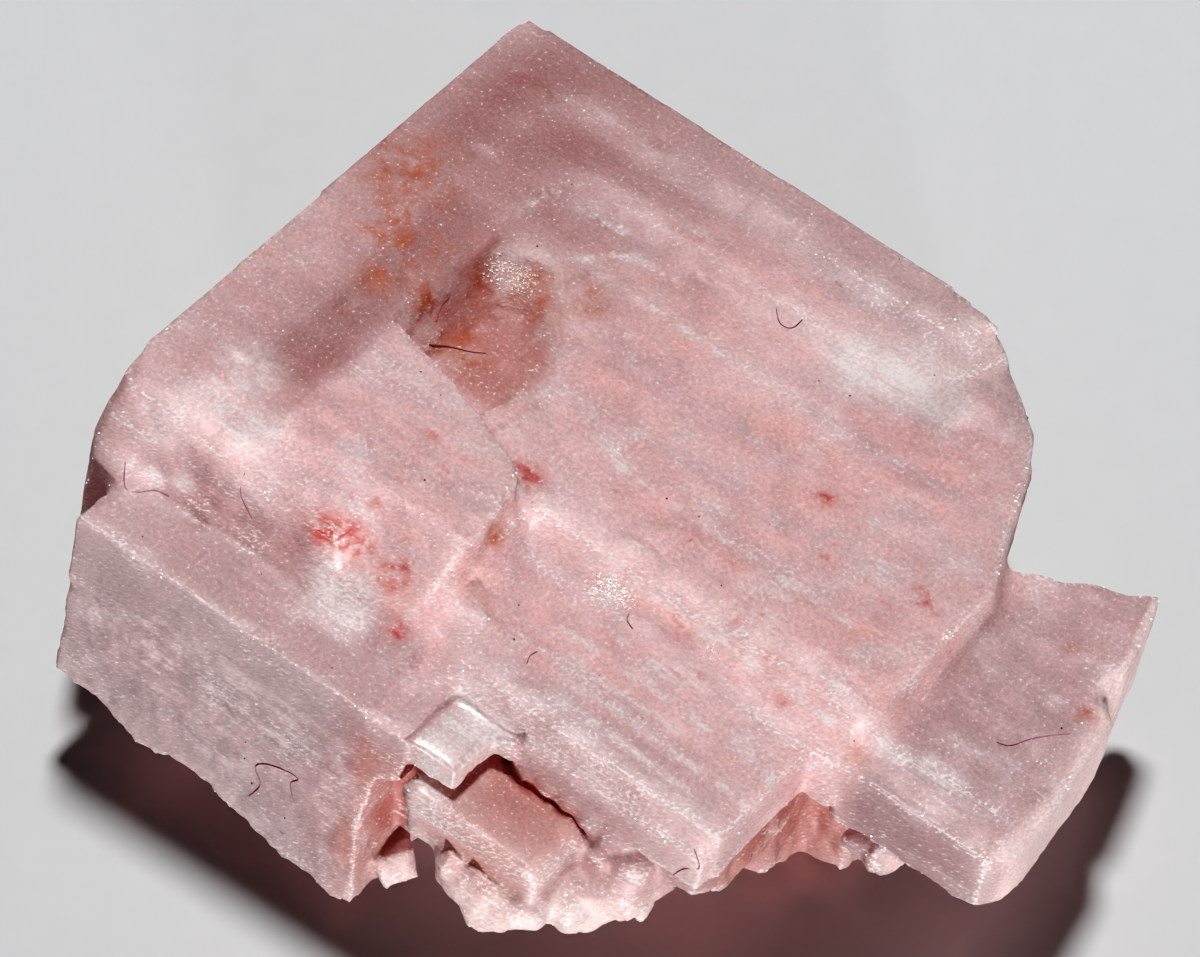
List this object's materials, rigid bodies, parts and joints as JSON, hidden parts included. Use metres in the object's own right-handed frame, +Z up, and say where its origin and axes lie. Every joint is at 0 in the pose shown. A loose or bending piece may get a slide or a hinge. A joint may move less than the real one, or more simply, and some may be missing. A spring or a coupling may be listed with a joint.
{
  "type": "halite crystal cluster",
  "caption": "Loose cluster of pink, see-through rock salt: a large cube with a sunken, terraced top and smaller cubes grown through its sides, resting on a broken base.",
  "frame": {"origin": "centre of the bounding box, on the floor under the broken base", "axes": "+X along the longest extent, toward the block on the right-hand side; +Y toward the large cube's far corner; +Z up from the floor"},
  "size_m": [0.0352, 0.0326, 0.0139],
  "materials": {
    "halite": "milky, see-through pink salt with frosted and glassy faces"
  },
  "bodies": {
    "root": {"halite_crystal": "halite"}
  },
  "joints": []
}
